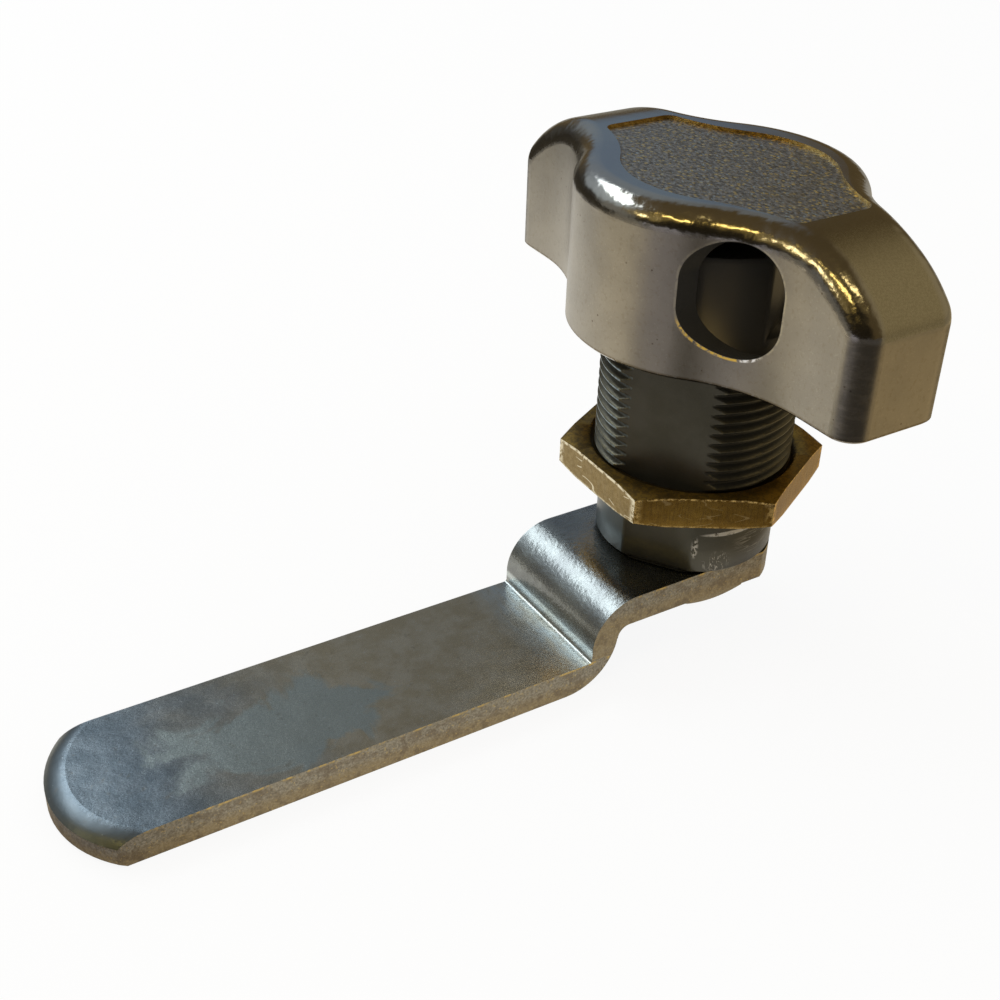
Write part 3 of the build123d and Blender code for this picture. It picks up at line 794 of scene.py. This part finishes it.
def barrel_rows():
    angles = barrel_angles()
    threaded = [-k * PITCH / ROWS_PER_TURN for k in range(int(THREAD_LEN * ROWS_PER_TURN / PITCH) + 1)]
    threaded.append(-THREAD_LEN)
    rows = [[round_point(barrel_radius(a, z), a, z) for a in angles] for z in threaded]
    foot = [(z, 0) for z in (-THREAD_LEN - 0.02, *FOOT_MIDDLE, FOOT_END + FOOT_EDGE)]
    foot.append((FOOT_END, FOOT_EDGE))
    for z, inward in foot:
        shrink = (FLAT - inward) / FLAT
        rows.append([round_point(min(FOOT_R - inward, flat_limit(a) * shrink), a, z) for a in angles])
    return rows


def barrel_skin(points, normal):
    """True for the plain outer faces of thread and foot, and for the step between them."""
    below_seat = all(q.z <= 0.001 for q in points) and any(abs(q.z) >= 0.002 for q in points)
    if not below_seat or any(math.hypot(q.x, q.y) <= SKIN_RADIUS for q in points):
        return False
    return abs(normal.z) < 0.95 or all(abs(q.z + THREAD_LEN) < 0.01 for q in points)


barrel = rethreaded("barrel_threaded", "barrel", barrel_skin, barrel_rows(), dark_metal, BARREL_SHARP)
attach(barrel, "barrel")
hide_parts("barrel")

# thread of the nut, in mm
MOUTH = 0.5
NUT_BORE = 9.55
NUT_CLEAR = 0.04
NUT_DEPTH = THREAD_DEPTH - 0.08
NUT_CREST = 0.1
NUT_ROOT = 0.25
NUT_POINTS = 120
NUT_ROWS = 36
NUT_SHARP = 25


def nut_radius(angle, z):
    turns = z / PITCH - angle / (2 * math.pi)
    r = THREAD_R + NUT_CLEAR - NUT_DEPTH * (1 - tooth(turns, NUT_CREST, NUT_ROOT))
    return min(r, NUT_BORE)


def nut_rows():
    angles = [2 * math.pi * k / NUT_POINTS for k in range(NUT_POINTS)]
    start = NUT_TOP - MOUTH
    end = NUT_END + MOUTH
    rows = [[round_point(NUT_BORE, a, start) for a in angles]]
    for i in range(NUT_ROWS + 1):
        z = start - (start - end) * i / NUT_ROWS
        rows.append([round_point(nut_radius(a, z), a, z) for a in angles])
    rows.append([round_point(NUT_BORE, a, end) for a in angles])
    return rows


def nut_bore(points, normal):
    """True for the plain faces of the bore, between its two mouths."""
    return all(math.hypot(q.x, q.y) < NUT_BORE + 0.02 for q in points) and abs(normal.z) < 0.1


nut = rethreaded("nut_threaded", "mounting_nut", nut_bore, nut_rows(), brass, NUT_SHARP)
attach(nut, "nut")
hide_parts("mounting_nut")

# floor: plain and pale to the camera, with soft tones that only mirror rays see; azimuths in degrees, and
# borders in mm from the axis
FLOOR_HALF = 4.0
FLOOR_Z = -31.5
FLOOR_GAP = 0.05
FRONT_SIDE = -112
COOL_SIDE = -165
LEFT_SIDE = -172
FAR_SIDE = 163
FAR_BACK = 45
FRONT_FROM = (22, 42)
COOL_FROM = (55, 70)
RIGHT_FROM = (0, 34)
LEFT_FROM = (42, 88)
FAR_FROM = (132, 165)
FLOOR_GREY = (0.86, 0.86, 0.86)
WHITE = (1.0, 1.0, 1.0)
FLOOR_LEFT = (0.92, 0.83, 0.65)
FLOOR_MIDDLE = (1.0, 0.975, 0.92)
FLOOR_RIGHT = (0.60, 0.47, 0.27)
FAR_LEFT = (0.05, 0.042, 0.03)
FAR_RIGHT = (0.38, 0.31, 0.18)
FAR_SIDE_PATCH = (0.25, 0.23, 0.19)
FAR_BACK_PATCH = (0.40, 0.37, 0.31)
FLOOR_COOL = (0.40, 0.385, 0.42)
FLOOR_FRONT = (0.115, 0.105, 0.095)

bm = bmesh.new()
bmesh.ops.create_grid(bm, x_segments=1, y_segments=1, size=FLOOR_HALF)
floor_mesh = bpy.data.meshes.new("floor")
bm.to_mesh(floor_mesh)
bm.free()
floor_material = bpy.data.materials.new("floor")
floor_material.use_nodes = True
t = Nodes(floor_material.node_tree)
where = t.add("ShaderNodeTexCoord", out="Object")
px, py, _ = t.apart(where)
path = t.tree.nodes.new("ShaderNodeLightPath")
to_camera = path.outputs["Is Camera Ray"]
distance = t.hypot(px, py)
towards = t.vector_math("NORMALIZE", t.stretch(where, (1, 1, 0)))
front = t.times(t.ramp(t.along(towards, FRONT_SIDE), 0.66, 0.84), t.ramp_mm(distance, *FRONT_FROM))
cool = t.times(t.ramp(t.along(towards, COOL_SIDE), 0.93, 0.975), t.ramp_mm(distance, *COOL_FROM))
right_side = t.ramp_mm(t.along(where, WARM_SIDE), *RIGHT_FROM)
left_side = t.ramp_mm(t.along(where, LEFT_SIDE), *LEFT_FROM)
mirrored = t.mix(left_side, FLOOR_MIDDLE, FLOOR_LEFT)
mirrored = t.mix(right_side, mirrored, FLOOR_RIGHT)
far = t.mix(right_side, FAR_LEFT, FAR_RIGHT)
far = t.mix(t.ramp(t.along(towards, FAR_SIDE), 0.93, 0.985), far, FAR_SIDE_PATCH)
far = t.mix(t.ramp(t.along(towards, FAR_BACK), 0.8, 0.95), far, FAR_BACK_PATCH)
mirrored = t.mix(t.ramp_mm(distance, *FAR_FROM), mirrored, far)
mirrored = t.mix(cool, mirrored, FLOOR_COOL)
mirrored = t.mix(front, mirrored, FLOOR_FRONT)
mirror_ray = t.larger(path.outputs["Is Glossy Ray"], path.outputs["Is Transmission Ray"])
diffuse = t.add("ShaderNodeBsdfDiffuse", Color=t.mix(mirror_ray, FLOOR_GREY, mirrored))
glow = t.add("ShaderNodeEmission", Color=t.mix(to_camera, mirrored, WHITE), Strength=1.0)
glow_share = t.plus(t.times(to_camera, 0.9), t.times(mirror_ray, 0.45))
blend = t.add("ShaderNodeMixShader", i0=glow_share, i1=diffuse, i2=glow)
output = t.tree.nodes.new("ShaderNodeOutputMaterial")
t.tree.links.new(blend, output.inputs[0])
floor = as_object("floor", floor_mesh, floor_material)
floor.location = (0, 0, (FLOOR_Z - FLOOR_GAP) * MM)

# the room as metal mirrors it; each patch has its azimuth and elevation in degrees, the cosines at which it
# starts and is full, and its tone
ROOM = (0.125, 0.088, 0.038)
DIFFUSE_LIGHT = (0.72, 0.72, 0.72)
ROOM_PATCHES = (
    (-150, 12, 0.55, 0.85, (0.022, 0.017, 0.010)),
    (125, 2, 0.60, 0.85, (0.060, 0.054, 0.044)),
    (106, 29, 0.91, 0.985, (0.50, 0.56, 0.60)),
    (134, 29, 0.91, 0.985, (0.58, 0.65, 0.69)),
    (146, 6, 0.93, 0.985, (0.27, 0.26, 0.23)),
    (-168, 43, 0.95, 0.995, (0.16, 0.11, 0.03)),
    (171, 25, 0.95, 0.995, (0.30, 0.215, 0.07)),
    (-118, 66, 0.95, 0.995, (0.16, 0.115, 0.04)),
    (-25, 26, 0.64, 0.94, (0.42, 0.34, 0.19)),
    (61, 24, 0.953, 0.984, (0.195, 0.265, 0.36)),
    (76, 36, 0.88, 0.99, (0.30, 0.345, 0.39)),
)

world = bpy.data.worlds.new("studio")
bpy.context.scene.world = world
world.use_nodes = True
t = Nodes(world.node_tree)
direction = t.add("ShaderNodeTexCoord", out="Generated")
path = t.tree.nodes.new("ShaderNodeLightPath")
room = ROOM
for azimuth, elevation, edge, full, tone in ROOM_PATCHES:
    room = t.mix(t.ramp(t.along(direction, azimuth, elevation), edge, full), room, tone)
room = t.mix(path.outputs["Is Diffuse Ray"], room, DIFFUSE_LIGHT)
room = t.mix(path.outputs["Is Camera Ray"], room, WHITE)
background = t.add("ShaderNodeBackground", Color=room, Strength=1.0)
output = t.tree.nodes.new("ShaderNodeOutputWorld")
t.tree.links.new(background, output.inputs[0])

# lamps: sizes in metres
LAMP_DISTANCE = 0.6


def softbox(name, azimuth, elevation, width, height, radiance, tone):
    """An area lamp that faces the axis from that side; radiance is what a mirror would show."""
    data = bpy.data.lights.new(name, "AREA")
    data.shape = "RECTANGLE"
    data.size = width
    data.size_y = height
    data.energy = radiance * math.pi * width * height
    data.color = tone
    lamp = bpy.data.objects.new(name, data)
    bpy.context.scene.collection.objects.link(lamp)
    lamp.location = aim(azimuth, elevation) * LAMP_DISTANCE
    lamp.rotation_mode = "QUATERNION"
    lamp.rotation_quaternion = (-lamp.location).to_track_quat("-Z", "Y")


softbox("window", 118, 43, 0.50, 0.17, 4.5, (0.86, 0.95, 1.0))
softbox("lamp_left", -168, 44, 0.20, 0.04, 9.0, (1.0, 0.72, 0.22))
softbox("lamp_low", 170, 25, 0.05, 0.10, 8.0, (1.0, 0.82, 0.42))
softbox("lamp_front", -118, 67, 0.24, 0.06, 7.0, (1.0, 0.78, 0.34))
